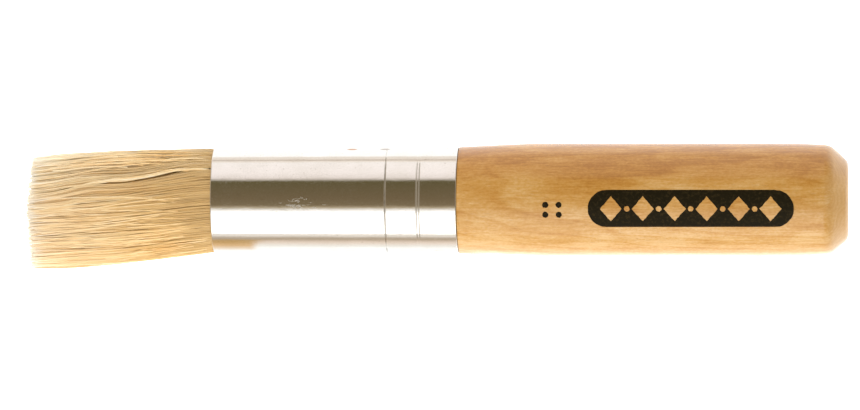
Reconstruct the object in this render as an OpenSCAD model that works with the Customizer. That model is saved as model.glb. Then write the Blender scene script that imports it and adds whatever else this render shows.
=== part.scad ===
// Round stencil brush: turned wooden handle, thin metal ferrule and a tuft of stiff bristle.
// The brush lies along X. The handle's flat end is at the origin and the bristle tips are at -X.
// All sizes are in millimetres. A "station" is a distance from the handle's flat end.

/* [Handle] */
// Length of wood that shows, from the flat end to the ferrule
handle_length = 58.7; // [54:0.1:70]
// Diameter of the straight stretch
handle_diameter = 17.2; // [16.8:0.1:18.4]
// Diameter where the wood meets the ferrule
neck_diameter = 16.1; // [15.9:0.1:16.2]
// Length over which the wood swells from the ferrule to full diameter
swell_length = 12.3; // [6:0.1:16]
// Length over which the wood narrows a little towards the flat end
taper_length = 14.7; // [8:0.1:18]
// Diameter where the end bevel starts
bevel_diameter = 16.7; // [16.2:0.1:16.8]
// Diameter of the flat end face
end_diameter = 11.6; // [10:0.1:13]
// Length of the end bevel along the handle
bevel_length = 2.8; // [2:0.1:4]
// Length of the tenon that is glued into the ferrule
tenon_length = 20; // [17:0.5:22]

/* [Ferrule] */
// Length of the metal tube
ferrule_length = 37; // [36:0.5:44]
// Outside diameter at the bristle end
mouth_diameter = 15.92; // [15.8:0.02:16.1]
// Outside diameter at the handle end
ferrule_diameter = 16.24; // [16.2:0.02:16.4]
// Thickness of the sheet metal
ferrule_wall = 0.4; // [0.3:0.05:0.45]
// Distance from the ferrule's handle end to the first rolled ring
ring_offset = 5.8; // [3:0.1:8]
// Distance between the two rolled rings
ring_spacing = 4.9; // [3:0.1:8]
// Depth of a rolled ring
ring_depth = 0.08; // [0.05:0.01:0.25]
// Width of a rolled ring at the metal's surface
ring_width = 0.6; // [0.5:0.1:1.6]

/* [Bristles] */
// Length of bristle that stands out of the ferrule
free_length = 28; // [22:0.5:34]
// Diameter of the tuft just outside the ferrule
tuft_base_diameter = 16.2; // [15.8:0.1:16.6]
// Diameter of the tuft at its widest
tuft_diameter = 17.6; // [17:0.1:19]
// Sideways lean of the tuft at rest, in degrees
tuft_lean = 3.3; // [0:0.1:4]
// Bend to each side that the tuft has room for, in degrees
tuft_bend = 15; // [5:1:16]

/* [Bonding] */
// Thickness of the glue between the tenon and the ferrule
glue_thickness = 0.1; // [0.06:0.01:0.16]
// Thickness of resin between the tenon and the bristle roots
resin_floor = 3; // [2:0.5:4]
// Depth over which resin surrounds the bristle roots
resin_soak = 5; // [3:0.5:6]
// Thickness of the resin that surrounds the bristle roots
resin_wall = 0.4; // [0.3:0.05:0.8]

/* [Hidden] */

$fn = 128;
film_gap = 0.012;      // hairline left between bonded pieces, so that no two solids share space
seat_gap = 0.1;        // room between the bending tuft and its seat in the roots
edge_break = 0.1;      // small bevel on the ferrule's two cut edges
edge_round = 0.55;     // softened edges of the handle's end bevel
glue_inset = 0.8;      // distance that the glue stays back from the ferrule's edge
seat_inset = 1.6;      // distance that the potted roots stay back from the mouth

handle_radius = handle_diameter / 2;
mouth_station = handle_length + ferrule_length;
tenon_station = handle_length + tenon_length;
resin_station = tenon_station + film_gap;
root_station = resin_station + resin_floor;
tip_station = mouth_station + free_length;
ring_stations = [handle_length + ring_offset, handle_length + ring_offset + ring_spacing];

// The tuft's root is a ball in the ferrule's mouth, smaller than the bore, about which it bends.
ball_radius = mouth_diameter / 2 - ferrule_wall - 0.2;
clear_angle = tuft_bend + tuft_lean + 1;

// Outside radius of the ferrule's plain cone at a station.
function cone_radius(station) =
    let (part = (station - handle_length) / ferrule_length)
    (ferrule_diameter + (mouth_diameter - ferrule_diameter) * part) / 2;

// Radius of the ferrule's plain bore at a station.
function bore_radius(station) = cone_radius(station) - ferrule_wall;

// Stations along the ferrule from one place to another, each with how far a ring presses in there.
function wall_line(first, last) = concat(
    [[first, 0]],
    [for (centre = ring_stations, corner = [[-1, 0], [-0.35, 1], [0.35, 1], [1, 0]])
        [centre + corner[0] * ring_width / 2, corner[1] * ring_depth]],
    [[last, 0]]
);

// Points (radius, station) on the ferrule's bore, moved inwards by a distance.
function bore_line(first, last, inwards) =
    [for (p = wall_line(first, last)) [bore_radius(p[0]) - p[1] - inwards, p[0]]];

function reversed(points) = [for (i = [len(points) - 1 : -1 : 0]) points[i]];

// Two points and a middle one that soften the corner b between a and c.
function soft_corner(a, b, c, size) =
    let (
        towards_a = b + (a - b) * size / norm(a - b),
        towards_c = b + (c - b) * size / norm(c - b)
    )
    [towards_a, (towards_a + 2 * b + towards_c) / 4, towards_c];

// Turns a (radius, station) outline about the brush's long axis.
module turned(outline) {
    rotate([0, -90, 0])
        rotate_extrude()
            polygon(outline);
}

// A turned hardwood body with a grooved tenon at one end and a bevelled flat face at the other.
module handle() {
    neck_radius = neck_diameter / 2;
    bevel_radius = bevel_diameter / 2;
    flat_centre = [0, 0];
    flat_edge = [end_diameter / 2, 0];
    bevel_edge = [bevel_radius, bevel_length];
    taper_steps = 8;
    swell_steps = 10;
    taper = [for (i = [1 : taper_steps])
        let (part = i / taper_steps)
        [
            handle_radius - (handle_radius - bevel_radius) * pow(1 - part, 3),
            bevel_length + (taper_length - bevel_length) * part
        ]];
    swell = [for (i = [0 : swell_steps])
        let (part = i / swell_steps)
        [
            neck_radius + (handle_radius - neck_radius) * (1 - pow(part, 1.35)),
            handle_length - swell_length * (1 - part)
        ]];
    tenon = bore_line(handle_length, tenon_station, glue_thickness + 2 * film_gap);
    tenon_edge = tenon[len(tenon) - 1];
    color([0.82, 0.6, 0.36])
        turned(concat(
            [flat_centre],
            soft_corner(flat_centre, flat_edge, bevel_edge, edge_round),
            soft_corner(flat_edge, bevel_edge, taper[0], edge_round),
            taper,
            swell,
            [for (i = [0 : len(tenon) - 2]) tenon[i]],
            [tenon_edge - [0, 0.6], tenon_edge - [0.6, 0], [0, tenon_station]]
        ));
}

// A thin, slightly conical tube with two rings rolled into it that lock the tenon.
module ferrule() {
    line = wall_line(handle_length, mouth_station);
    outside = [for (p = line) [cone_radius(p[0]) - p[1], p[0]]];
    first = outside[0];
    last = outside[len(outside) - 1];
    middle = [for (i = [1 : len(outside) - 2]) outside[i]];
    color([0.8, 0.8, 0.78])
        turned(concat(
            [first - [edge_break, 0], first + [0, edge_break]],
            middle,
            [last - [0, edge_break], last - [edge_break, 0]],
            reversed(bore_line(handle_length, mouth_station, 0))
        ));
}

// The cured glue sleeve between the tenon and the ferrule.
module handle_glue() {
    first = handle_length + glue_inset;
    color([0.85, 0.78, 0.55])
        turned(concat(
            bore_line(first, tenon_station, film_gap),
            reversed(bore_line(first, tenon_station, film_gap + glue_thickness))
        ));
}

// A cup of cured resin that binds the root ends of the bristles above the tenon.
module resin_plug() {
    rim_station = root_station + resin_soak;
    outer_base = bore_radius(resin_station) - film_gap;
    outer_rim = bore_radius(rim_station) - film_gap;
    color([0.72, 0.5, 0.2])
        turned([
            [0, resin_station],
            [outer_base, resin_station],
            [outer_rim, rim_station],
            [outer_rim - resin_wall, rim_station],
            [bore_radius(root_station) - film_gap - resin_wall, root_station],
            [0, root_station]
        ]);
}

// The potted length of the bristle bundle, hollowed where the free tuft bends in the mouth.
module bristle_roots() {
    first = root_station + film_gap;
    rim = root_station + resin_soak + film_gap;
    last = mouth_station - seat_inset;
    inset = 2 * film_gap + resin_wall;
    color([0.78, 0.62, 0.4])
        difference() {
            turned([
                [0, first],
                [bore_radius(first) - inset, first],
                [bore_radius(rim) - inset, rim],
                [bore_radius(rim) - film_gap, rim],
                [bore_radius(last) - film_gap, last],
                [0, last]
            ]);
            translate([-mouth_station, 0, 0])
                sphere(r = ball_radius + seat_gap);
        }
}

// The free length of the bristle bundle: a ball in the mouth, a short neck and a flaring tuft.
module bristle_tuft() {
    past_tips = free_length + 3;
    base_radius = tuft_base_diameter / 2;
    widest_radius = tuft_diameter / 2;
    flare = widest_radius - base_radius;
    outline = [
        [0, 0],
        [base_radius, base_radius * tan(clear_angle)],
        [base_radius + 0.5 * flare, 0.33 * free_length],
        [base_radius + 0.88 * flare, 0.6 * free_length],
        [widest_radius, 0.82 * free_length],
        [widest_radius - 0.1, past_tips],
        [0, past_tips]
    ];
    color([0.87, 0.74, 0.52])
        intersection() {
            translate([-mouth_station, 0, 0])
                rotate([0, 0, tuft_lean])
                    union() {
                        sphere(r = ball_radius);
                        turned(outline);
                    }
            // Cuts the tips square and flattens the side that the brush lies on.
            translate([-tip_station, -2 * handle_diameter, -handle_radius])
                cube([tip_station, 4 * handle_diameter, 4 * handle_diameter]);
        }
}

handle();
ferrule();
handle_glue();
resin_plug();
bristle_roots();
bristle_tuft();
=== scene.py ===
"""Looks of the round stencil brush: turned wooden handle, plated ferrule and several thousand bristles."""

import math

import bmesh
import bpy
import numpy as np
from mathutils import Matrix, Vector


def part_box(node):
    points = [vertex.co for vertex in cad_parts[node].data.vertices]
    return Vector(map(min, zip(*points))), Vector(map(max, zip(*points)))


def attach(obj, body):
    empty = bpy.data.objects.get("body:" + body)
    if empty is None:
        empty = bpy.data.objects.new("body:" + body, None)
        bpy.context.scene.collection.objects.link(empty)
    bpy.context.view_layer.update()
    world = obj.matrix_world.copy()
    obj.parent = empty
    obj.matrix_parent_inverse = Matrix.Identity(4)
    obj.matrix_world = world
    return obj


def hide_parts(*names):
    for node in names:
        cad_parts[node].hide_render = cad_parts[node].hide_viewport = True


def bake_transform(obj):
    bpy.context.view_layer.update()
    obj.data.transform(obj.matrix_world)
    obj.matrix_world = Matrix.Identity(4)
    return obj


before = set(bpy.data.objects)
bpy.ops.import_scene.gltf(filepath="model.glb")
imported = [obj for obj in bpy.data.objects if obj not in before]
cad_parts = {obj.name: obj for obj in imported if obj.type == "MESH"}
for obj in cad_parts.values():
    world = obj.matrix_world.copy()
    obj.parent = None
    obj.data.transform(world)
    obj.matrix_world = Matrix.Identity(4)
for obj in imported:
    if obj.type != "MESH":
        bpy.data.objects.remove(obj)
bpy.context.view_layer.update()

MM = 0.001

# Places and sizes that the CAD frame gives, in metres.
HANDLE_LOW, HANDLE_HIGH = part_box("handle")
FERRULE_LOW, FERRULE_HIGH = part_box("ferrule")
TUFT_LOW, TUFT_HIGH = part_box("bristle_tuft")
HANDLE_R = HANDLE_HIGH.z
FLOOR_Z = HANDLE_LOW.z
TENON_X = HANDLE_LOW.x
JOINT_X = FERRULE_HIGH.x
MOUTH_X = FERRULE_LOW.x
TIP_X = TUFT_LOW.x
FERRULE_R = FERRULE_HIGH.z
FREE_LENGTH = MOUTH_X - TIP_X

# Sizes that the CAD model's boxes don't show, in metres.
MOUTH_R = 7.96 * MM
WALL = 0.4 * MM
NECK_R = 8.05 * MM
TENON_R = 7.55 * MM
BEVEL_R = 8.35 * MM
END_R = 5.8 * MM
BEVEL_LENGTH = 2.8 * MM
TAPER_LENGTH = 14.7 * MM
SWELL_LENGTH = 12.3 * MM
FIRST_RING_X = JOINT_X - 5.8 * MM
SECOND_RING_X = JOINT_X - 10.7 * MM


# ---- mesh helpers


def link(obj):
    bpy.context.scene.collection.objects.link(obj)
    return obj


def mesh_object(name, points, faces, material):
    """A smooth-shaded mesh object with sharp edges where faces meet steeply."""
    mesh = bpy.data.meshes.new(name)
    mesh.from_pydata(points, [], faces)
    mesh.validate()
    mesh.materials.append(material)
    mesh.polygons.foreach_set("use_smooth", [True] * len(mesh.polygons))
    mesh.set_sharp_from_angle(angle=math.radians(40))
    return link(bpy.data.objects.new(name, mesh))


def rounded(before, corner, after, size, steps=5):
    """Points of a small curve that replaces a corner of an outline."""
    a = corner + (before - corner).normalized() * size
    c = corner + (after - corner).normalized() * size
    shares = [i / steps for i in range(steps + 1)]
    return [a * (1 - t) ** 2 + corner * 2 * t * (1 - t) + c * t**2 for t in shares]


def lathe(name, outline, material, segments, closed=False):
    """Turns an outline of (x, radius) points about the X axis. A radius of 0 ends it in a pole."""
    points, rings = [], []
    for x, radius in outline:
        if radius < 1e-9:
            rings.append([len(points)])
            points.append((x, 0.0, 0.0))
            continue
        rings.append(list(range(len(points), len(points) + segments)))
        for k in range(segments):
            turn = 2 * math.pi * k / segments
            points.append((x, radius * math.sin(turn), radius * math.cos(turn)))
    faces = []
    pairs = list(zip(rings, rings[1:]))
    if closed:
        pairs.append((rings[-1], rings[0]))
    for ring_a, ring_b in pairs:
        for k in range(segments):
            n = (k + 1) % segments
            if len(ring_a) == 1:
                faces.append((ring_a[0], ring_b[n], ring_b[k]))
            elif len(ring_b) == 1:
                faces.append((ring_a[k], ring_a[n], ring_b[0]))
            else:
                faces.append((ring_a[k], ring_a[n], ring_b[n], ring_b[k]))
    return mesh_object(name, points, faces, material)


# ---- material helpers


def node(tree, kind, inputs=None, **settings):
    """Adds a shader node. Inputs take plain values or other nodes' output sockets."""
    made = tree.nodes.new("ShaderNode" + kind)
    for key, value in settings.items():
        setattr(made, key, value)
    for key, value in (inputs or {}).items():
        if isinstance(value, bpy.types.NodeSocket):
            tree.links.new(value, made.inputs[key])
        else:
            made.inputs[key].default_value = value
    return made


def maths(tree, operation, a, b=0.0, c=0.0):
    return node(tree, "Math", {0: a, 1: b, 2: c}, operation=operation).outputs[0]


def product(tree, a, b):
    return maths(tree, "MULTIPLY", a, b)


def remap(tree, value, low, high, to_low=0.0, to_high=1.0, smooth=False):
    kind = "SMOOTHSTEP" if smooth else "LINEAR"
    inputs = {"Value": value, "From Min": low, "From Max": high, "To Min": to_low, "To Max": to_high}
    return node(tree, "MapRange", inputs, interpolation_type=kind).outputs["Result"]


def blend_colours(tree, share, a, b, mode="MIX"):
    """Mixes two colours. The Mix node's colours are its inputs 6 and 7 and its output 2."""
    inputs = {0: share, 6: a, 7: b}
    return node(tree, "Mix", inputs, data_type="RGBA", blend_type=mode).outputs[2]


def rgb(red, green, blue):
    return (red, green, blue, 1.0)


def total(tree, parts):
    """The sum of parts, each given as (value, weight)."""
    whole = 0.0
    for value, weight in parts:
        whole = maths(tree, "MULTIPLY_ADD", value, weight, whole)
    return whole


def vector_maths(tree, operation, a, b=(0.0, 0.0, 0.0), output=0):
    return node(tree, "VectorMath", {0: a, 1: b}, operation=operation).outputs[output]


def distance_from(tree, place, middle, stretch):
    """How far a place is from a middle, once both are stretched along each axis."""
    offset = vector_maths(tree, "SUBTRACT", place, middle)
    offset = vector_maths(tree, "MULTIPLY", offset, stretch)
    return vector_maths(tree, "LENGTH", offset, output="Value")


def band(tree, value, middle, inner, outer):
    """1 where a value is near its middle, falling to 0 between an inner and an outer distance."""
    off = maths(tree, "ABSOLUTE", maths(tree, "SUBTRACT", value, middle))
    return remap(tree, off, inner, outer, 1.0, 0.0)


def ramp(tree, value, stops):
    """A colour ramp from a list of (place, colour)."""
    made = node(tree, "ValToRGB", {"Fac": value})
    elements = made.color_ramp.elements
    while len(elements) < len(stops):
        elements.new(1.0)
    for element, (place, colour) in zip(elements, stops):
        element.position = place
        element.color = colour
    return made.outputs["Color"]


def place_in_mm(tree, stretch=(1, 1, 1)):
    """The piece's own coordinates in millimetres, with the grain's stretch along each axis."""
    coordinates = node(tree, "TexCoord").outputs["Object"]
    scale = tuple(1000.0 * s for s in stretch)
    return node(tree, "Mapping", {"Vector": coordinates, "Scale": scale}).outputs["Vector"]


def noise(tree, stretch, detail=3.0, roughness=0.5, distortion=0.0, output="Fac"):
    """Noise whose features are about 1 mm divided by the stretch in size."""
    inputs = {
        "Vector": place_in_mm(tree, stretch),
        "Scale": 1.0,
        "Detail": detail,
        "Roughness": roughness,
        "Distortion": distortion,
    }
    return node(tree, "TexNoise", inputs).outputs[output]


def material(name):
    """A new material with its node tree and its Principled shader."""
    made = bpy.data.materials.new(name)
    made.use_nodes = True
    return made, made.node_tree, made.node_tree.nodes["Principled BSDF"]


def emptied_tree(owner):
    """The emptied node tree of a new material or world."""
    owner.use_nodes = True
    owner.node_tree.nodes.clear()
    return owner.node_tree


def bump(tree, height, distance_mm, strength):
    inputs = {"Height": height, "Distance": distance_mm * MM, "Strength": strength}
    return node(tree, "Bump", inputs).outputs["Normal"]


# ---- materials


def growth_rings(tree, plain, along):
    """Rings about a pith below the handle, bent by a slow wander: the distance outwards across them,
    their late wood and the line at their edge. Sizes are in millimetres."""
    pith = (0.0, -3.5, -24.0)
    ring_width = 1.45
    slant = 0.07  # how far the rings run outwards for each millimetre of handle
    wander = noise(tree, (0.022, 0.12, 0.12), output="Color")
    wander = vector_maths(tree, "SUBTRACT", wander, (0.5, 0.5, 0.5))
    wander = vector_maths(tree, "MULTIPLY", wander, (5.0, 5.0, 5.0))
    bent = vector_maths(tree, "ADD", plain, wander)
    from_pith = distance_from(tree, bent, pith, (0.0, 1.0, 1.0))
    outwards = total(tree, [(from_pith, 1.0), (along, slant)])
    ring_place = maths(tree, "FRACT", maths(tree, "DIVIDE", outwards, ring_width))
    late_wood = maths(tree, "POWER", ring_place, 2.2)
    ring_edge = remap(tree, ring_place, 0.92, 1.0, 1.0, 0.0)
    late_wood = product(tree, late_wood, ring_edge)
    growth_line = band(tree, ring_place, 0.9, 0.02, 0.07)
    return outwards, late_wood, growth_line


def wood_tone(tree, across, late_wood, growth_line, fine_fibre):
    """From pale at 0 to dark at 1: painted shade makes the +Y side darker and painted light makes the -Y
    edge a little paler.
    """
    fibre = noise(tree, (0.13, 3.0, 3.0), detail=4.0, roughness=0.6, distortion=0.5)
    fleck = remap(tree, noise(tree, (0.75, 2.6, 2.6), detail=2.0, roughness=0.6), 0.52, 0.68)
    cloud = noise(tree, (0.1, 0.3, 0.3), detail=4.0, distortion=0.6)
    mottle = noise(tree, (2.0, 3.2, 3.2), detail=2.0, roughness=0.6)
    return total(tree, [
        (late_wood, 0.20),
        (growth_line, 0.05),
        (fleck, -0.10),
        (remap(tree, fibre, 0.3, 0.7, -0.16, 0.16), 1.0),
        (remap(tree, fine_fibre, 0.3, 0.7, -0.14, 0.14), 1.0),
        (remap(tree, mottle, 0.3, 0.7, -0.13, 0.13), 1.0),
        (remap(tree, cloud, 0.32, 0.68, 0.14, 0.50), 1.0),
        # Painted shade on the +Y side and painted light near the -Y edge.
        (remap(tree, across, 1.5, 5.5, 0.0, 0.46, smooth=True), 1.0),
        (remap(tree, across, -6.5, -3.5, -0.09, 0.0, smooth=True), 1.0),
    ])


def lacquered_wood():
    """Light hardwood with growth rings, fine fibres, ray flecks and pores, under clear lacquer."""
    made, tree, shader = material("lacquered_wood")
    plain = place_in_mm(tree)
    parts = node(tree, "SeparateXYZ", {"Vector": plain})
    along, across = parts.outputs["X"], parts.outputs["Y"]
    outwards, late_wood, growth_line = growth_rings(tree, plain, along)
    fine_fibre = noise(tree, (0.5, 9.0, 9.0), roughness=0.65, distortion=0.4)
    tone = wood_tone(tree, across, late_wood, growth_line, fine_fibre)
    colour = ramp(tree, tone, [
        (0.0, rgb(0.70, 0.455, 0.20)),
        (0.35, rgb(0.605, 0.333, 0.092)),
        (0.7, rgb(0.51, 0.24, 0.045)),
        (1.0, rgb(0.40, 0.165, 0.026)),
    ])
    pores = remap(tree, noise(tree, (0.9, 8.0, 8.0), detail=1.0), 0.64, 0.72)
    colour = blend_colours(tree, product(tree, pores, 0.22), colour, rgb(0.25, 0.10, 0.025))

    # The end bevel is cut across the fibres, so it is greyer and shows fine growth lines as arcs.
    arcs = maths(tree, "SINE", product(tree, outwards, 14.0))
    end_share = remap(tree, along, -4.2, -1.6, smooth=True)
    end_tone = remap(tree, arcs, -1.0, 1.0, 0.0, 0.35)
    end_colour = blend_colours(tree, end_tone, rgb(0.50, 0.305, 0.12), rgb(0.385, 0.225, 0.08))
    colour = blend_colours(tree, product(tree, end_share, 0.7), colour, end_colour)
    tree.links.new(colour, shader.inputs["Base Color"])

    dull = remap(tree, noise(tree, (0.25, 0.5, 0.5)), 0.35, 0.65, 0.34, 0.46)
    tree.links.new(dull, shader.inputs["Roughness"])
    end_lines = product(tree, arcs, end_share)
    relief = total(tree, [(fine_fibre, 0.5), (pores, -0.5), (end_lines, 0.3)])
    tree.links.new(bump(tree, relief, 0.02, 0.6), shader.inputs["Normal"])
    skin = noise(tree, (0.9, 1.1, 1.1), detail=2.0)
    tree.links.new(bump(tree, skin, 0.02, 0.5), shader.inputs["Coat Normal"])
    shader.inputs["Specular IOR Level"].default_value = 0.2
    shader.inputs["Coat Weight"].default_value = 0.9
    shader.inputs["Coat Roughness"].default_value = 0.14
    return made


def scuffs(tree, plain):
    """Curly marks in a patch on the upper side, near the middle of the tube, and dashes beside it."""
    x = (0.36 * JOINT_X + 0.64 * MOUTH_X) / MM
    z = FERRULE_R / MM
    from_patch = distance_from(tree, plain, (x, -0.35, z), (0.5, 1.0, 0.3))
    patch = remap(tree, from_patch, 0.75, 1.0, 1.0, 0.0, smooth=True)
    from_strip = distance_from(tree, plain, (x, -0.9, z), (0.16, 1.0, 0.3))
    strip = remap(tree, from_strip, 0.45, 0.85, 1.0, 0.0, smooth=True)
    wavy = noise(tree, (0.55, 0.75, 0.75), detail=2.0, roughness=0.6, distortion=1.2)
    wavy_line = band(tree, wavy, 0.5, 0.012, 0.030)
    dash = remap(tree, noise(tree, (0.7, 5.0, 5.0), detail=1.0), 0.63, 0.67)
    curls = product(tree, patch, wavy_line)
    dashes = product(tree, strip, dash)
    return maths(tree, "MAXIMUM", curls, dashes)


def plating_colour(tree, plain, cloud):
    """Near-white metal, slightly clouded, with specks, grime in a ring and two tarnished flecks."""
    speck = remap(tree, noise(tree, (3.5, 3.5, 3.5), detail=1.0), 0.70, 0.76, 0.0, 0.3)
    speckle = remap(tree, noise(tree, (4.5, 4.5, 4.5), detail=2.0, roughness=0.7), 0.35, 0.65, 0.0, 0.15)
    cloudy = remap(tree, cloud, 0.35, 0.65)
    colour = blend_colours(tree, cloudy, rgb(0.93, 0.905, 0.87), rgb(0.89, 0.865, 0.82))
    colour = blend_colours(tree, speck, colour, rgb(0.45, 0.36, 0.25))
    colour = blend_colours(tree, speckle, colour, rgb(0.62, 0.60, 0.55))

    # The grime in the second rolled ring is thicker in some places.
    along = node(tree, "SeparateXYZ", {"Vector": plain}).outputs["X"]
    grime = band(tree, along, SECOND_RING_X / MM, 0.05, 0.14)
    thick = remap(tree, noise(tree, (0.3, 0.55, 0.55), detail=2.0), 0.4, 0.6, 0.12, 0.55)
    colour = blend_colours(tree, product(tree, grime, thick), colour, rgb(0.20, 0.175, 0.12))

    # The flecks are on the +Y side.
    for x, tarnish in ((-74.7, rgb(0.55, 0.26, 0.12)), (-69.7, rgb(0.45, 0.38, 0.32))):
        off = distance_from(tree, plain, (x, 7.66, 2.45), (0.55, 1.0, 1.1))
        colour = blend_colours(tree, remap(tree, off, 0.3, 0.5, 0.9, 0.0), colour, tarnish)
    return colour


def plated_metal():
    """Bright plated sheet metal with faint rub marks, hairlines, grain, small dents and scuffs."""
    made, tree, shader = material("plated_metal")
    shader.inputs["Metallic"].default_value = 1.0
    plain = place_in_mm(tree)
    cloud = noise(tree, (0.25, 0.35, 0.35))
    hairline = noise(tree, (9.0, 0.25, 0.25), roughness=0.7)
    long_line = noise(tree, (0.25, 7.0, 7.0), detail=2.0, roughness=0.6)
    grain = noise(tree, (5.0, 5.0, 5.0), detail=2.0, roughness=0.7)
    dents = noise(tree, (0.35, 0.6, 0.6))
    scuff = scuffs(tree, plain)
    tree.links.new(plating_colour(tree, plain, cloud), shader.inputs["Base Color"])
    rough = total(tree, [
        (remap(tree, cloud, 0.3, 0.7, 0.05, 0.1), 1.0),
        (remap(tree, hairline, 0.55, 0.8, 0.0, 0.06), 1.0),
        (remap(tree, grain, 0.5, 0.75, 0.0, 0.12), 1.0),
        (scuff, 0.5),
    ])
    tree.links.new(rough, shader.inputs["Roughness"])
    relief = total(tree, [(hairline, 0.7), (long_line, 0.5), (scuff, 1.0), (dents, 6.0)])
    tree.links.new(bump(tree, relief, 0.004, 0.5), shader.inputs["Normal"])
    return made


def bristle_hair():
    """Natural bristle, paler towards its tip. The mesh's tint holds each point's tone, its place
    along the hair and how much light reaches it."""
    made, tree, shader = material("bristle_hair")
    tint = node(tree, "Attribute", attribute_name="tint").outputs["Color"]
    parts = node(tree, "SeparateColor", {"Color": tint})
    tone, along, shade = parts.outputs["Red"], parts.outputs["Green"], parts.outputs["Blue"]
    mottle = noise(tree, (0.4, 5.0, 5.0), detail=2.0)
    tone = maths(tree, "ADD", tone, remap(tree, mottle, 0.3, 0.7, -0.14, 0.14))
    colour = ramp(tree, tone, [
        (0.0, rgb(0.84, 0.51, 0.17)),
        (0.3, rgb(0.90, 0.61, 0.27)),
        (0.6, rgb(0.94, 0.70, 0.36)),
        (0.85, rgb(0.975, 0.80, 0.50)),
        (1.0, rgb(1.0, 0.89, 0.67)),
    ])
    for first, last, most, pale in (
        (0.3, 1.0, 0.51, rgb(1.0, 0.92, 0.74)),
        (0.75, 1.0, 0.5, rgb(1.0, 0.93, 0.78)),
        (0.87, 0.97, 0.8, rgb(1.0, 0.97, 0.90)),
    ):
        colour = blend_colours(tree, remap(tree, along, first, last, 0.0, most), colour, pale)
    # Painted shade: where the tint says less light reaches, the colour turns to dark gold.
    colour = blend_colours(tree, shade, rgb(0.58, 0.39, 0.17), colour)
    tree.links.new(colour, shader.inputs["Base Color"])
    tree.links.new(remap(tree, mottle, 0.3, 0.7, 0.36, 0.5), shader.inputs["Roughness"])
    tree.links.new(bump(tree, noise(tree, (1.6, 16.0, 16.0)), 0.01, 0.4), shader.inputs["Normal"])
    shader.inputs["Specular IOR Level"].default_value = 0.22
    return made


def potted_bristle():
    """The cut face and side of the potted hair: fibres with cured resin between them."""
    made, tree, shader = material("potted_bristle")
    fibre = noise(tree, (0.12, 5.5, 5.5), roughness=0.6)
    colour = ramp(tree, fibre, [
        (0.3, rgb(0.30, 0.18, 0.06)),
        (0.5, rgb(0.55, 0.37, 0.16)),
        (0.7, rgb(0.72, 0.54, 0.29)),
    ])
    tree.links.new(colour, shader.inputs["Base Color"])
    tree.links.new(remap(tree, fibre, 0.3, 0.7, 0.35, 0.6), shader.inputs["Roughness"])
    tree.links.new(bump(tree, fibre, 0.08, 0.8), shader.inputs["Normal"])
    return made


def cured_resin(name, clear, cloudy, roughness):
    """Cured adhesive with clouding and small bubbles."""
    made, tree, shader = material(name)
    cloud = noise(tree, (0.6, 0.6, 0.6), detail=4.0)
    bubble = remap(tree, noise(tree, (2.8, 2.8, 2.8), detail=1.0), 0.64, 0.70)
    colour = blend_colours(tree, remap(tree, cloud, 0.35, 0.65), clear, cloudy)
    colour = blend_colours(tree, product(tree, bubble, 0.5), colour, rgb(0.9, 0.85, 0.7))
    tree.links.new(colour, shader.inputs["Base Color"])
    tree.links.new(remap(tree, cloud, 0.3, 0.7, roughness, roughness + 0.15), shader.inputs["Roughness"])
    tree.links.new(bump(tree, bubble, 0.05, 0.6), shader.inputs["Normal"])
    shader.inputs["Coat Weight"].default_value = 0.2
    return made


def printing_ink():
    """Near-black printing ink that thins out a little in places."""
    made, tree, shader = material("printing_ink")
    thin = remap(tree, noise(tree, (2.2, 2.2, 2.2), detail=4.0, roughness=0.7), 0.5, 0.75)
    colour = blend_colours(tree, thin, rgb(0.011, 0.008, 0.002), rgb(0.04, 0.028, 0.009))
    tree.links.new(colour, shader.inputs["Base Color"])
    tree.links.new(remap(tree, thin, 0.0, 1.0, 0.5, 0.62), shader.inputs["Roughness"])
    tree.links.new(bump(tree, thin, 0.006, 0.5), shader.inputs["Normal"])
    shader.inputs["Specular IOR Level"].default_value = 0.12
    return made


# ---- handle


def handle_outline():
    """(x, radius) points from the flat end over the body and the shoulder to the end of the tenon."""
    flat_centre = Vector((0.0, 0.0))
    flat_edge = Vector((0.0, END_R))
    bevel_edge = Vector((-BEVEL_LENGTH, BEVEL_R))
    taper = []
    steps = 12
    for i in range(1, steps + 1):
        part = i / steps
        x = -BEVEL_LENGTH - (TAPER_LENGTH - BEVEL_LENGTH) * part
        taper.append(Vector((x, HANDLE_R - (HANDLE_R - BEVEL_R) * (1 - part) ** 3)))
    swell = []
    steps = 28
    shoulder_x = JOINT_X + 0.05 * MM
    for i in range(steps + 1):
        part = i / steps
        x = shoulder_x + SWELL_LENGTH * (1 - part)
        swell.append(Vector((x, NECK_R + (HANDLE_R - NECK_R) * (1 - part**1.35))))
    shoulder = swell.pop()
    tenon_root = Vector((shoulder_x, TENON_R))
    tenon_edge = Vector((TENON_X, TENON_R))
    tenon_end = Vector((TENON_X, 0.0))
    return (
        [flat_centre, Vector((0.0, END_R * 0.5))]
        + rounded(flat_centre, flat_edge, bevel_edge, 0.8 * MM, 8)
        + rounded(flat_edge, bevel_edge, taper[0], 0.95 * MM, 8)
        + taper
        + swell
        + rounded(swell[-1], shoulder, tenon_root, 0.16 * MM)
        + [tenon_root]
        + rounded(tenon_root, tenon_edge, tenon_end, 0.6 * MM)
        + [tenon_end]
    )


def build_handle():
    handle = lathe("handle_turned", handle_outline(), lacquered_wood(), segments=224)
    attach(handle, "brush_body")
    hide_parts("handle")


# ---- ferrule


def cone_radius(x):
    part = (JOINT_X - x) / (JOINT_X - MOUTH_X)
    return FERRULE_R + (MOUTH_R - FERRULE_R) * part


def rolled_grooves():
    """Each groove of the two rolled rings as (middle, half width, depth). The first ring is double."""
    apart = 0.19 * MM
    return (
        (FIRST_RING_X - apart, 0.15 * MM, 0.016 * MM),
        (FIRST_RING_X + apart, 0.15 * MM, 0.016 * MM),
        (SECOND_RING_X, 0.15 * MM, 0.020 * MM),
    )


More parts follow.
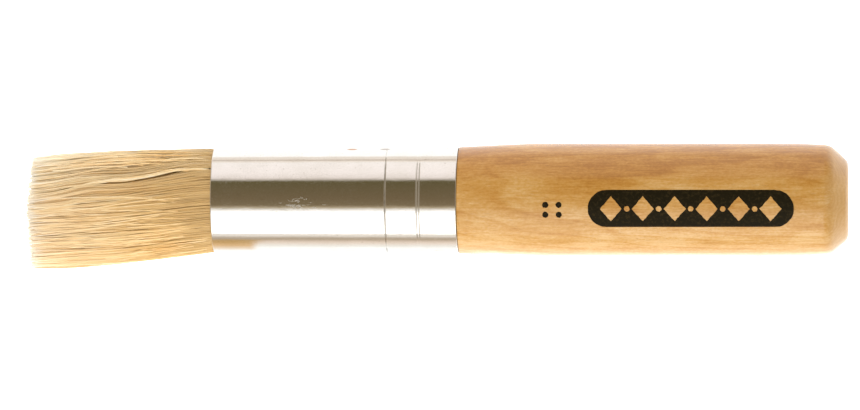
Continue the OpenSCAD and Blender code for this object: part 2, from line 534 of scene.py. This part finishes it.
def ring_dip(x):
    """How far the rolled rings press the metal in at a place along the tube."""
    dip = 0.0
    for middle, half_width, depth in rolled_grooves():
        off = abs(x - middle) / half_width
        if off < 1:
            dip += depth * (0.5 + 0.5 * math.cos(math.pi * off))
    return dip


def ferrule_outline():
    """Closed outline of the tube's wall, with both cut edges softened."""
    edge = 0.1 * MM
    xs = set(np.linspace(JOINT_X - 2 * edge, MOUTH_X + 2 * edge, 60))
    xs |= {JOINT_X - edge, JOINT_X - 1.2 * edge, MOUTH_X + 1.2 * edge, MOUTH_X + edge}
    for middle, half_width, _ in rolled_grooves():
        xs |= set(np.linspace(middle - half_width, middle + half_width, 15))
    xs = sorted(xs, reverse=True)
    outside = [Vector((x, cone_radius(x) - ring_dip(x))) for x in xs]
    inside = [Vector((x, cone_radius(x) - WALL)) for x in reversed(xs)]
    ends = []
    for x, neighbour in ((MOUTH_X, outside[-1]), (JOINT_X, outside[0])):
        outer = Vector((x, cone_radius(x)))
        inner = Vector((x, cone_radius(x) - WALL))
        ends.append((rounded(neighbour, outer, inner, edge, 4), inner))
    mouth, joint = ends
    return outside + mouth[0] + [mouth[1]] + inside + [joint[1]] + joint[0][::-1]


def build_ferrule():
    ferrule = lathe("ferrule_tube", ferrule_outline(), plated_metal(), segments=288, closed=True)
    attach(ferrule, "brush_body")
    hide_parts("ferrule")


# ---- bristles

HAIR_COUNT = 8600
LOCKS = 130  # how many bunches the hairs gather in
CORE_SHARE = 0.85  # hairs whose roots are nearer the middle than this are the core
CORE_WEAR = 0.45 * MM  # how far the core is worn back at the upper side of the dabbing face
HAIR_R = 0.078 * MM  # a hair of middling thickness
TIP_R = 0.032 * MM
CORE_TIP_R = 0.062 * MM
SEAT_R = 7.4 * MM  # a little less than the hollow that the potted hair ends in
SEAT_INSET = 1.6 * MM  # how far the potted hair stays back from the mouth
BORE_R = MOUTH_R - WALL - 0.06 * MM  # the bundle inside the mouth
BASE_R = 7.98 * MM  # the bundle just outside the mouth
FLARE = 0.47 * MM  # how much the bundle widens
LEAN = 2.0 * MM  # how far the tips stand towards -Y
SOFTNESS = 0.40  # how far a hair is shaded as part of the round tuft instead of by itself
GOLDEN_ANGLE = math.pi * (3 - math.sqrt(5))


def smoothstep(value, low, high):
    t = np.clip((value - low) / (high - low), 0.0, 1.0)
    return t * t * (3 - 2 * t)


def bundle_radius(a):
    """Radius of the hair bundle at a distance from the mouth, negative inside the ferrule."""
    out = np.maximum(a, 0.0)
    swell = (BASE_R - BORE_R) * (1 - np.exp(-out / (0.45 * MM)))
    flare = FLARE * smoothstep(out, 1.5 * MM, 16 * MM)
    return BORE_R + swell + flare - 0.22 * MM * smoothstep(out, 21 * MM, 28.5 * MM)


def bundle_lean(a):
    """How far the bundle's middle has moved towards -Y at a distance from the mouth."""
    return -LEAN * (np.maximum(a, 0.0) / FREE_LENGTH) ** 0.95


def spread_in_disc(rng, count, jitter):
    """Evenly spread points in a unit disc, shaken so that no spiral shows."""
    k = np.arange(count) + 0.5
    radius = np.sqrt(k / count)
    turn = k * GOLDEN_ANGLE
    points = np.stack([radius * np.cos(turn), radius * np.sin(turn)], axis=1)
    points += rng.normal(0.0, jitter / math.sqrt(count), points.shape)
    size = np.linalg.norm(points, axis=1, keepdims=True)
    return points / np.maximum(size, 1.0)


def parting(a):
    """Across-place of the parting on the upper side, as a share of the bundle's radius."""
    t = np.clip(a / FREE_LENGTH, 0.0, 1.0)
    return 0.61 - 0.17 * smoothstep(t, 0.05, 0.5) - 0.09 * smoothstep(t, 0.62, 0.9)


def parting_width(a):
    """Half the width of the gap along the parting: widest in the middle, open again at the tips."""
    middle = smoothstep(a, 3 * MM, 8 * MM) * (1 - smoothstep(a, 15 * MM, 19 * MM))
    tips = smoothstep(a, 19 * MM, 22 * MM)
    mouth = 1 - smoothstep(a, 2 * MM, 5 * MM)
    return (0.08 + 0.10 * mouth + 0.24 * middle + 0.24 * tips) * MM


def pick_locks(rng, disc):
    """The lock that each hair belongs to: the nearest one, with blurred borders."""
    centres = spread_in_disc(np.random.default_rng(5), LOCKS, 0.6)
    shaken = disc + rng.normal(0.0, 0.045, disc.shape)
    return np.argmin(((shaken[:, None, :] - centres[None]) ** 2).sum(2), axis=1)


def lock_traits():
    """Each lock's drift, wave, shortening and tone, the same for every group of hairs."""
    rng = np.random.default_rng(11)
    return {
        "drift": rng.normal(0.0, 0.32 * MM, (LOCKS, 2)),
        "phase": rng.uniform(0, 2 * math.pi, (LOCKS, 2)),
        "wave": rng.uniform(0.05, 0.26, (LOCKS, 2)) * MM,
        "short": np.abs(rng.normal(0.0, 0.12 * MM, LOCKS)),
        "tone": rng.uniform(0.0, 1.0, LOCKS),
    }


def hair_spans(rng, disc):
    """Where each hair starts and ends, as distances from the mouth. A few end well before the others."""
    count = len(disc)
    size = np.linalg.norm(disc, axis=1)
    in_core = size < CORE_SHARE
    seat = np.sqrt(np.maximum(SEAT_R**2 - (size * BORE_R) ** 2, 0.0))
    start = -np.maximum(seat, SEAT_INSET) - 0.3 * MM
    even = np.where(in_core, 0.6, 1 - 0.5 * smoothstep(np.abs(disc[:, 0]), 0.6, 0.95))
    ragged = np.abs(rng.normal(0.0, 0.55 * MM, count)) * even + 0.02 * MM
    broken = rng.uniform(size=count) < 0.12
    lost = rng.uniform(0.0, 3.0, count) * MM
    ragged += np.where(broken, lost, 0.0) * even
    ragged += np.where(in_core, CORE_WEAR, 0.0) * smoothstep(disc[:, 1], 0.0, 0.5)
    return start, FREE_LENGTH - ragged


def wander(rng, out, lock, traits):
    """How far hairs stray across and upwards. Locks drift together, and each hair also by itself."""
    count = len(lock)
    own = rng.normal(0.0, 0.42 * MM, (count, 2))
    phase = rng.uniform(0, 2 * math.pi, (count, 2))
    pace = rng.uniform(5.0, 22.0, (count, 2))
    sway = rng.uniform(0.5, 1.6, (count, 2)) * MM / pace
    strays = []
    for axis in range(2):
        drift, turn, size = (traits[key][lock, axis][:, None] for key in ("drift", "phase", "wave"))
        together = drift * out**1.2
        wave = size * np.sin(out * 7.0 + turn)
        waver = np.sin(out * pace[:, axis][:, None] + phase[:, axis][:, None])
        alone = own[:, axis][:, None] * out + sway[:, axis][:, None] * waver
        strays.append(together + (wave + alone) * np.minimum(out * 6, 1.0))
    return strays


def parted(disc, a, radius, across):
    """Hairs near the parting follow it down the tuft and keep to their own side of it."""
    size = np.linalg.norm(disc, axis=1)
    near_top = smoothstep(disc[:, 1:2], 0.1, 0.5) * smoothstep(size[:, None], 0.78, 0.9)
    place = (across - bundle_lean(a)) / radius
    follow = np.exp(-(((disc[:, 0:1] - parting(0.0)) / 0.42) ** 2))
    place += (parting(a) - parting(0.0)) * follow * near_top
    side = np.where(disc[:, 0:1] >= parting(0.0), 1.0, -1.0)
    margin = parting_width(a) / radius * near_top
    off = side * (place - parting(a))
    off = 0.5 * (off + np.sqrt(off**2 + 4 * margin**2))
    pushed = parting(a) + side * off
    return bundle_lean(a) + radius * (place + (pushed - place) * near_top)


def kept_inside(a, radius, across, height):
    """Nothing stands outside the bundle, and the lower side lies flat on the table."""
    middle = bundle_lean(a)
    reach = np.hypot(across - middle, height)
    limit = radius - 0.08 * MM
    inside = limit + 0.35 * (reach - limit)
    squeeze = np.where(reach > limit, inside / np.maximum(reach, 1e-9), 1.0)
    across = middle + (across - middle) * squeeze
    height = height * squeeze
    rest = FLOOR_Z + 1.3 * HAIR_R
    soft = FLOOR_Z + 0.9 * MM
    pressed = rest + (soft - rest) * np.exp((height - soft) / (soft - rest))
    return across, np.where(height < soft, pressed, height)


def hair_paths(rng, disc, steps):
    """Centre lines of the hairs (hairs by steps by XYZ), their distances from the mouth and tones."""
    lock = pick_locks(rng, disc)
    traits = lock_traits()
    start, end = hair_spans(rng, disc)
    length = end - traits["short"][lock]
    t = np.linspace(0.0, 1.0, steps) ** 0.92
    a = start[:, None] + (length - start)[:, None] * t[None]
    out = np.maximum(a, 0.0) / FREE_LENGTH
    radius = bundle_radius(a)
    stray_across, stray_up = wander(rng, out, lock, traits)
    across = disc[:, 0:1] * radius + bundle_lean(a) + stray_across
    height = disc[:, 1:2] * radius + stray_up
    across = parted(disc, a, radius, across)
    across, height = kept_inside(a, radius, across, height)
    return np.stack([MOUTH_X - a, across, height], axis=2), a, traits["tone"][lock]


def soften_shading(mesh, paths, a, ring, face_groups):
    """Turns the hairs' shading normals towards the tuft's, as light passed from hair to hair does."""
    outwards = paths.copy()
    outwards[..., 0] = 0.0
    outwards[..., 1] -= bundle_lean(a)
    distance = np.linalg.norm(outwards, axis=2, keepdims=True)
    outwards /= np.maximum(distance, 1e-9)
    share = SOFTNESS * smoothstep(distance, 2 * MM, 6 * MM)[:, :, None, :]
    normals = (1 - share) * ring[:, None, :, :] + share * outwards[:, :, None, :]
    normals = normals.reshape(-1, 3)
    walls, root_caps, tip_caps = face_groups
    corners = [normals[walls.ravel()]]
    for caps, facing in ((root_caps, 1.0), (tip_caps, -1.0)):
        corners.append(np.tile((facing, 0.0, 0.0), (caps.size, 1)))
    corners = np.concatenate(corners)
    corners /= np.maximum(np.linalg.norm(corners, axis=1, keepdims=True), 1e-9)
    mesh.normals_split_custom_set(corners)


def tube_faces(count, steps, sides):
    """Faces of closed tubes whose points are numbered hair by hair and step by step."""
    index = np.arange(count * steps * sides).reshape(count, steps, sides)
    here, there = index[:, :-1, :], index[:, 1:, :]
    walls = np.stack([here, there, np.roll(there, -1, 2), np.roll(here, -1, 2)], axis=3)
    root_caps = index[:, 0, :]
    tip_caps = index[:, -1, ::-1]
    return walls.reshape(-1, 4), root_caps, tip_caps


def paint_tint(mesh, paths, a, sides, tones, shades, paleness):
    """Stores what the hair's material reads, with a golden lock low on the -Y side near the ferrule."""
    count, steps, _ = paths.shape
    out = np.clip(a / FREE_LENGTH, 0.0, 1.0)
    from_gold = ((paths[..., 1] + 7.1 * MM) / (0.8 * MM)) ** 2 + ((a - 8 * MM) / (5 * MM)) ** 2
    golden = np.where(paths[..., 2] > 0, np.exp(-from_gold), 0.0)
    tint = np.ones((count, steps, sides, 4), dtype=np.float32)
    tint[..., 0] = (tones[:, None] - 0.5 * golden)[:, :, None]
    tint[..., 1] = (out * paleness)[:, :, None]
    tint[..., 2] = shades[:, :, None]
    layer = mesh.color_attributes.new("tint", "FLOAT_COLOR", "POINT")
    layer.data.foreach_set("color", tint.ravel())


def hair_mesh(name, rng, paths, a, sides, thickness, tip_r, **tints):
    """One mesh of tapered tubes along the paths. The tints go to paint_tint."""
    count, steps, _ = paths.shape
    out = np.clip(a / FREE_LENGTH, 0.0, 1.0)
    girth = rng.uniform(0.80, 1.18, count)[:, None] * thickness
    taper = HAIR_R + (tip_r - HAIR_R) * smoothstep(out, 0.86, 1.0)
    radius = girth * taper
    turn = 2 * math.pi * np.arange(sides) / sides
    turn = turn[None, :] + rng.uniform(0, 2 * math.pi, count)[:, None]
    ring = np.stack([np.zeros_like(turn), np.cos(turn), np.sin(turn)], axis=2)
    points = paths[:, :, None, :] + radius[:, :, None, None] * ring[:, None, :, :]

    face_groups = tube_faces(count, steps, sides)
    faces = [face for group in face_groups for face in group.tolist()]
    mesh = bpy.data.meshes.new(name)
    mesh.from_pydata(points.reshape(-1, 3).tolist(), [], faces)
    smooth = np.ones(len(faces), dtype=bool)
    smooth[len(face_groups[0]):] = False
    mesh.polygons.foreach_set("use_smooth", smooth)
    soften_shading(mesh, paths, a, ring, face_groups)
    paint_tint(mesh, paths, a, sides, **tints)
    mesh.materials.append(bpy.data.materials["bristle_hair"])
    return link(bpy.data.objects.new(name, mesh))


def finish_bristles(obj):
    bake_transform(obj)
    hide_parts("bristle_tuft")


def hair_tones(disc, lock_tone, own_tone):
    """Each hair's tone, from golden at 0 to cream at 1: paler on the +Y side as painted light, warmer on
    the -Y side.
    """
    lit_side = smoothstep(disc[:, 0], 0.3, 0.85)
    warm_side = smoothstep(-disc[:, 0], 0.6, 0.95)
    # Painted light makes the hairs on the +Y side paler.
    side_tone = 0.5 * lit_side - 0.25 * warm_side
    return np.clip(0.17 + 0.50 * lock_tone + own_tone + side_tone, 0.0, 1.0)


def hair_light(disc, a):
    """How much light reaches each point, as painted shade, and how pale it gets towards the tip. Hairs are
    painted dimmer near the mouth and inside the tuft, except where they lie bare on the dabbing face."""
    depth = 1 - np.linalg.norm(disc, axis=1)[:, None]
    lit_side = smoothstep(disc[:, 0], 0.3, 0.85)[:, None]
    near_mouth = 0.56 * np.exp(-np.maximum(a, 0) / (8 * MM))
    bare = smoothstep(a, a[:, -1:] - 1.8 * MM, a[:, -1:])
    # Painted shade darkens the hairs towards the mouth, and painted light brightens the +Y side.
    painted_light = 0.62 + 0.36 * smoothstep(a, 12 * MM, 27 * MM)
    painted_light = painted_light + 0.15 * lit_side * (1 - painted_light)
    inner_shade = np.minimum(1.6 * depth, 0.4) * (1 - bare)
    shades = np.clip(painted_light - inner_shade - near_mouth, 0.2, 1.0)
    # Inner hairs are painted less pale, as painted shade that keeps the gaps between hairs golden.
    paleness = np.maximum(np.clip(1.0 - 4.0 * depth, 0.3, 1.0), bare)
    return {"shades": shades, "paleness": paleness}


def build_bristles():
    """The tuft's hairs: a core of fewer, thicker ones in two pieces, and fine outer ones in three."""
    bristle_hair()
    rng = np.random.default_rng(3)
    disc = spread_in_disc(rng, HAIR_COUNT, 0.9)
    outer = np.linalg.norm(disc, axis=1) >= CORE_SHARE
    upper = disc[:, 1] >= 0

    # The outer hairs come in thirds of the way round.
    third = np.floor((np.arctan2(disc[:, 1], disc[:, 0]) / math.pi + 1) * 1.5 - 1e-9)

    core = {"sides": 3, "thickness": 1.45, "tip_r": CORE_TIP_R}
    skin = {"sides": 5, "thickness": 1.06, "tip_r": TIP_R}
    groups = [
        ("bristles_core_upper", ~outer & upper, 7, core),
        ("bristles_core_lower", ~outer & ~upper, 7, core),
    ]
    for k in range(3):
        groups.append(("bristles_outer_%d" % (k + 1), outer & (third == k), 15, skin))
    for name, chosen, steps, build in groups:
        roots = disc[chosen]
        paths, a, lock_tone = hair_paths(rng, roots, steps)
        own_tone = rng.normal(0.0, 0.15, len(paths))
        tones = hair_tones(roots, lock_tone, own_tone)
        light = hair_light(roots, a)
        finish_bristles(hair_mesh(name, rng, paths, a, tones=tones, **light, **build))


def stray_hairs(name, rng, start, end, angle_at, tones, lift=0.0):
    """Hairs that lie on the tuft from one distance to another, at an angle about its middle."""
    t = np.linspace(0, 1, 22)[None]
    a = start[:, None] + (end - start)[:, None] * t
    angle = angle_at(a)

    # Both ends dip into the tuft.
    rise = (-0.3 + (0.36 + lift) * np.sin(np.clip(t * 1.25, 0, 1) * math.pi) ** 0.7) * MM
    radius = bundle_radius(a) + rise
    across = bundle_lean(a) + radius * np.cos(angle)
    height = np.maximum(radius * np.sin(angle), FLOOR_Z + 1.2 * HAIR_R)
    paths = np.stack([MOUTH_X - a, across, height], axis=2)
    plain = np.ones(a.shape)
    hairs = hair_mesh(
        name, rng, paths, a, sides=5, thickness=0.95, tip_r=TIP_R, tones=tones, shades=plain, paleness=plain
    )
    finish_bristles(hairs)


def build_strays():
    """Single hairs that cross the others at a small angle, and a pale lock beside the parting."""
    rng = np.random.default_rng(23)
    count = 220
    turn = rng.uniform(1.4, 2 * math.pi + 0.75, count)[:, None]
    start = rng.uniform(-1.0 * MM, 14 * MM, count)
    end = start + rng.uniform(8 * MM, 22 * MM, count)
    end = np.minimum(end, FREE_LENGTH - rng.uniform(0.2, 1.6, count) * MM)
    drift = rng.normal(0.0, 0.10, count)[:, None]
    phase = rng.uniform(0, 6, count)[:, None]

    def wandering(a):
        return turn + drift * (a - start[:, None]) / (15 * MM) + 0.02 * np.sin(a / (4.5 * MM) + phase)

    tones = rng.uniform(0.35, 0.8, count)
    stray_hairs("bristles_stray", rng, start, end, wandering, tones)

    count = 12
    beside = rng.normal(0.042, 0.018, count)[:, None]
    phase = rng.normal(0.0, 0.9, count)[:, None]

    def along_parting(a):
        wave = 0.014 * np.sin(a / (1.9 * MM) + phase)
        appear = smoothstep(a, 3 * MM, 6 * MM)
        merge = smoothstep(a, 17 * MM, 23 * MM)
        return np.arccos(parting(a) + beside * (appear - merge) + wave * (1 - merge))

    start = rng.uniform(-0.5, 4.0, count) * MM
    end = rng.uniform(19.0, 24.0, count) * MM
    tones = rng.uniform(0.6, 0.95, count)
    stray_hairs("bristles_parting", rng, start, end, along_parting, tones, lift=0.10)


# ---- printed marks

# In millimetres, along the handle and around it.
BAR_MIDDLE = (-23.5, -1.3)
BAR_SIZE = (30.8, 5.7)
DIAMOND_COUNT = 6
DIAMOND_HALF = (1.65, 1.9)
DOT_R = 0.42
PIPS_MIDDLE = (-44.25, -1.45)
PIP_R = 0.46
STRIP_WIDTH = 0.35

# In metres.
INK_LIFT = 0.012 * MM
INK_THICKNESS = 0.01 * MM


def circle_line(x, y, radius, points):
    turns = [2 * math.pi * i / points for i in range(points)]
    return [(x + radius * math.cos(t), y + radius * math.sin(t)) for t in turns]


def diamond_line(x, y, half_width, half_height):
    corners = [(half_width, 0), (0, half_height), (-half_width, 0), (0, -half_height)]
    line = []
    for (ax, ay), (bx, by) in zip(corners, corners[1:] + corners[:1]):
        for i in range(8):
            share = i / 8
            line.append((x + ax + (bx - ax) * share, y + ay + (by - ay) * share))
    return line


def bar_line(x, y, width, height):
    """A bar with fully round ends."""
    radius = height / 2
    line = []
    for side in (1, -1):
        for i in range(25):
            turn = math.pi * (i / 24 - 0.5)
            line.append((
                x + side * (width / 2 - radius + radius * math.cos(turn)),
                y + side * radius * math.sin(turn),
            ))
    return line


def filled_outlines(name, lines):
    """A flat mesh filled between outlines in millimetres, whose edges wobble a little."""
    rng = np.random.default_rng(len(lines))
    curve = bpy.data.curves.new(name, "CURVE")
    curve.dimensions = "2D"
    curve.fill_mode = "BOTH"
    for line in lines:
        spline = curve.splines.new("POLY")
        spline.points.add(len(line) - 1)
        for point, (x, y) in zip(spline.points, line):
            wobble = rng.normal(0.0, 0.025, 2)
            point.co = (x + wobble[0], y + wobble[1], 0.0, 1.0)
        spline.use_cyclic_u = True
    flat = link(bpy.data.objects.new(name + "_outline", curve))
    depsgraph = bpy.context.evaluated_depsgraph_get()
    mesh = bpy.data.meshes.new_from_object(flat.evaluated_get(depsgraph))
    bpy.data.objects.remove(flat)
    return mesh


def wrap_on_handle(mesh):
    """Cuts a flat mesh into narrow strips along X and bends it onto the handle's round."""
    bm = bmesh.new()
    bm.from_mesh(mesh)
    bmesh.ops.remove_doubles(bm, verts=bm.verts, dist=1e-4)
    low = min(v.co.y for v in bm.verts)
    high = max(v.co.y for v in bm.verts)
    cuts = max(2, int((high - low) / STRIP_WIDTH))
    for i in range(1, cuts):
        everything = bm.verts[:] + bm.edges[:] + bm.faces[:]
        level = (0, low + (high - low) * i / cuts, 0)
        bmesh.ops.bisect_plane(bm, geom=everything, plane_co=level, plane_no=(0, 1, 0), dist=1e-6)
    radius = HANDLE_R + INK_LIFT
    for vert in bm.verts:
        turn = vert.co.y * MM / HANDLE_R
        vert.co = (vert.co.x * MM, radius * math.sin(turn), radius * math.cos(turn))
    bmesh.ops.recalc_face_normals(bm, faces=bm.faces)
    bm.to_mesh(mesh)
    bm.free()


def printed(name, lines, ink):
    """A film of ink on the handle, filled between outlines in millimetres."""
    mesh = filled_outlines(name, lines)
    wrap_on_handle(mesh)
    mesh.name = name
    mesh.materials.clear()
    mesh.materials.append(ink)
    mark = link(bpy.data.objects.new(name, mesh))
    film = mark.modifiers.new("film", "SOLIDIFY")
    film.thickness = INK_THICKNESS
    film.offset = 0.0
    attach(mark, "brush_body")


def build_printing():
    """A plain bar with a row of cut-out diamonds and dots, and four pips as a size mark."""
    ink = printing_ink()
    x, y = BAR_MIDDLE
    lines = [bar_line(x, y, *BAR_SIZE)]
    spacing = BAR_SIZE[0] / (DIAMOND_COUNT + 0.45)
    for i in range(DIAMOND_COUNT):
        place = x + (i - (DIAMOND_COUNT - 1) / 2) * spacing
        lines.append(diamond_line(place, y, *DIAMOND_HALF))
        if i < DIAMOND_COUNT - 1:
            lines.append(circle_line(place + spacing / 2, y, DOT_R, 20))
    printed("printed_bar", lines, ink)
    x, y = PIPS_MIDDLE
    pips = [circle_line(x + dx, y + dy, PIP_R, 24) for dx in (-1.0, 1.0) for dy in (-0.75, 0.75)]
    printed("printed_size_pips", pips, ink)


# ---- inner pieces, as in CAD


def paint_inner_pieces():
    """The sealed pieces keep their CAD shape and get their own materials."""
    looks = {
        "handle_glue": cured_resin("cured_glue", rgb(0.72, 0.60, 0.34), rgb(0.82, 0.74, 0.52), 0.4),
        "resin_plug": cured_resin("cured_resin", rgb(0.48, 0.27, 0.07), rgb(0.62, 0.42, 0.17), 0.2),
        "bristle_roots": potted_bristle(),
    }
    for name, look in looks.items():
        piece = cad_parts[name]
        piece.data.materials.clear()
        piece.data.materials.append(look)


# ---- floor, light, camera


def white_table():
    """A pale table that glows, like a light table, so that it stays white beside the brush."""
    made = bpy.data.materials.new("white_table")
    tree = emptied_tree(made)
    glow = node(tree, "Emission", {"Color": rgb(1.0, 1.0, 1.0), "Strength": 2.4})
    matt = node(tree, "BsdfDiffuse", {"Color": rgb(0.8, 0.8, 0.8)})
    both = node(tree, "AddShader", {0: glow.outputs[0], 1: matt.outputs[0]})
    node(tree, "OutputMaterial", {"Surface": both.outputs[0]})
    return made


TABLE_SPAN = 500.0  # how far the ramps reach to each side of the brush, in millimetres
MIRRORED_WHITE = rgb(1.2, 1.2, 1.2)


def table_ramp(tree, across, stops):
    """A colour ramp over the distance across the table, in millimetres."""
    share = remap(tree, across, -TABLE_SPAN, TABLE_SPAN)
    return ramp(tree, share, [(0.5 + place / (2 * TABLE_SPAN), colour) for place, colour in stops])


def light_near_wood(tree, along, across):
    """A brighter strip of table beside the wood, as (share, colour)."""
    colour = table_ramp(tree, across, [
        (-24, rgb(0.0, 0.0, 0.0)),
        (-16, rgb(1.6, 1.6, 1.6)),
        (-4, rgb(1.6, 1.6, 1.6)),
        (8, rgb(0.5, 0.5, 0.5)),
        (14, rgb(0.0, 0.0, 0.0)),
    ])
    beside_wood = remap(tree, along, JOINT_X / MM, JOINT_X / MM + 4.0)
    before_end = remap(tree, along, -2.0, 4.0, 1.0, 0.0)
    return product(tree, beside_wood, before_end), colour


def tan_card(tree, along, across):
    """A tan card on the -Y side beside the bristles, with a slightly oblique edge, as (share, colour)."""
    colour = table_ramp(tree, across, [
        (-137, rgb(0.52, 0.35, 0.16)),
        (-52, rgb(0.64, 0.41, 0.175)),
        (-31, rgb(0.83, 0.56, 0.30)),
        (-21, rgb(0.97, 0.80, 0.61)),
        (-16, MIRRORED_WHITE),
    ])
    edge = maths(tree, "ADD", along, product(tree, across, -0.085))
    share = remap(tree, edge, MOUTH_X / MM + 5.8, MOUTH_X / MM + 6.8, 1.0, 0.0)
    share = product(tree, share, remap(tree, across, 0.0, 1.0, 1.0, 0.0))
    share = product(tree, share, remap(tree, across, -170.0, -130.0))
    return share, colour


def mirrored_table():
    """What the metal mirrors beside itself: white near by, then pinkish card, then a darker edge, and
    tan card beside the bristles."""
    made = bpy.data.materials.new("mirrored_table")
    tree = emptied_tree(made)
    parts = node(tree, "SeparateXYZ", {"Vector": place_in_mm(tree)})
    along, across = parts.outputs["X"], parts.outputs["Y"]
    colour = table_ramp(tree, across, [
        (-275, rgb(0.50, 0.41, 0.31)),
        (-137, rgb(0.58, 0.47, 0.36)),
        (-90, rgb(0.74, 0.61, 0.50)),
        (-67, rgb(0.85, 0.715, 0.60)),
        (-52, rgb(0.91, 0.785, 0.68)),
        (-43, rgb(0.96, 0.86, 0.775)),
        (-31, rgb(1.0, 0.98, 0.92)),
        (-24, MIRRORED_WHITE),
        (41, MIRRORED_WHITE),
        (46, rgb(0.92, 0.84, 0.76)),
        (76, rgb(0.92, 0.84, 0.76)),
        (98, rgb(0.68, 0.58, 0.50)),
        (150, rgb(0.66, 0.57, 0.49)),
        (185, rgb(0.98, 0.90, 0.82)),
    ])
    share, light = light_near_wood(tree, along, across)
    colour = blend_colours(tree, share, colour, light, mode="ADD")
    share, tan = tan_card(tree, along, across)
    colour = blend_colours(tree, share, colour, tan)
    glow = node(tree, "Emission", {"Color": colour, "Strength": 1.0})
    node(tree, "OutputMaterial", {"Surface": glow.outputs[0]})
    return made


def table_sheet(name, level, look):
    """A level sheet 4 m wide."""
    half = 2.0
    points = [(-half, -half, level), (half, -half, level), (half, half, level), (-half, half, level)]
    mesh = bpy.data.meshes.new(name)
    mesh.from_pydata(points, [], [(0, 1, 2, 3)])
    mesh.materials.append(look)
    sheet = link(bpy.data.objects.new(name, mesh))
    return sheet


def build_floor():
    """The table that is seen, and below it the one that only mirror-like rays meet."""
    floor = table_sheet("floor", FLOOR_Z, white_table())
    floor.visible_glossy = False
    mirrored = table_sheet("mirrored_floor", FLOOR_Z - 0.05 * MM, mirrored_table())
    for rays in ("camera", "diffuse", "transmission", "shadow"):
        setattr(mirrored, "visible_" + rays, False)


def soft_light(name, place, sizes, power):
    """A soft light that lights the brush but is not mirrored in it."""
    data = bpy.data.lights.new(name, "AREA")
    data.shape = "RECTANGLE"
    data.size, data.size_y = sizes
    data.energy = power
    light = link(bpy.data.objects.new(name, data))
    light.location = place
    light.rotation_euler = Vector(place).to_track_quat("Z", "Y").to_euler()
    light.visible_glossy = False
    light.visible_camera = False


def build_lights():
    """Soft lights over the brush, beyond both its ends and close to the tuft."""
    soft_light("overhead_light", (-0.06, -0.25, 0.9), (1.6, 0.5), 4.1)
    soft_light("tip_light", (-0.85, -0.15, 0.4), (0.5, 0.5), 3.4)
    soft_light("end_light", (0.75, -0.15, 0.4), (0.5, 0.5), 1.1)
    soft_light("tuft_light", (-0.15, 0.12, 0.12), (0.16, 0.16), 0.036)


def studio_colour(tree):
    """A long bright softbox on the -Y side, a dimmer one on the +Y side, and a dark gap between them
    over the brush. Angles run from straight up towards +Y, in degrees."""
    direction = node(tree, "TexCoord").outputs["Generated"]
    parts = node(tree, "SeparateXYZ", {"Vector": direction})
    angle = maths(tree, "ARCTAN2", parts.outputs["Y"], parts.outputs["Z"])
    share = maths(tree, "ADD", product(tree, angle, 0.5 / math.pi), 0.5)
    white = rgb(1.05, 1.03, 1.01)
    pale = rgb(0.5, 0.5, 0.5)
    stops = [
        (-180, pale),
        (-93, pale),
        (-90, rgb(0.28, 0.235, 0.185)),
        (-87.5, rgb(0.31, 0.27, 0.225)),
        (-85.5, rgb(0.41, 0.375, 0.34)),
        (-83, rgb(0.47, 0.44, 0.40)),
        (-80.5, rgb(0.42, 0.39, 0.35)),
        (-78.5, rgb(0.45, 0.43, 0.40)),
        (-77, white),
        (-32, white),
        (-21, rgb(0.50, 0.49, 0.475)),
        (-16, rgb(0.24, 0.195, 0.13)),
        (-11, rgb(0.105, 0.080, 0.045)),
        (4, rgb(0.086, 0.063, 0.034)),
        (32, rgb(0.068, 0.053, 0.026)),
        (41.5, rgb(0.060, 0.049, 0.021)),
        (46, rgb(0.30, 0.27, 0.24)),
        (50, rgb(0.455, 0.415, 0.395)),
        (62, rgb(0.513, 0.477, 0.460)),
        (88, rgb(0.529, 0.498, 0.483)),
        (92, pale),
    ]
    colour = ramp(tree, share, [(0.5 + place / 360, value) for place, value in stops])
    endways = maths(tree, "ABSOLUTE", parts.outputs["X"])
    return blend_colours(tree, remap(tree, endways, 0.13, 0.21), colour, rgb(0.19, 0.165, 0.13))


def build_world():
    """The studio lights the brush and is mirrored in it. The camera sees plain white."""
    world = bpy.data.worlds.new("studio")
    bpy.context.scene.world = world
    tree = emptied_tree(world)
    studio = node(tree, "Background", {"Color": studio_colour(tree), "Strength": 2.0})
    plain = node(tree, "Background", {"Color": rgb(1.0, 1.0, 1.0), "Strength": 1.0})
    seen = node(tree, "LightPath").outputs["Is Camera Ray"]
    mixed = node(tree, "MixShader", {0: seen, 1: studio.outputs[0], 2: plain.outputs[0]})
    node(tree, "OutputWorld", {"Surface": mixed.outputs[0]})
    bpy.context.scene.view_settings.view_transform = "Standard"


def build_camera():
    """Looks straight down on the lying brush, leaning a little towards the handle's end."""
    data = bpy.data.cameras.new("camera")
    data.lens = 300.0
    data.sensor_width = 36.0
    data.clip_start = 0.01
    data.clip_end = 20.0
    seen_width = 129.8 * MM
    middle = Vector((-63.12 * MM, -0.71 * MM, 0.0))
    lean = math.radians(4.0)
    away = Vector((math.sin(lean), 0.0, math.cos(lean)))
    up = Vector((0.0, 1.0, 0.0))
    right = up.cross(away)
    turn = Matrix((right, up, away)).transposed().to_4x4()
    camera = link(bpy.data.objects.new("camera", data))
    distance = seen_width * data.lens / data.sensor_width
    camera.matrix_world = Matrix.Translation(middle + away * distance) @ turn
    bpy.context.scene.camera = camera


build_camera()
build_lights()
build_world()
build_floor()
build_handle()
build_ferrule()
build_printing()
build_bristles()
build_strays()
paint_inner_pieces()
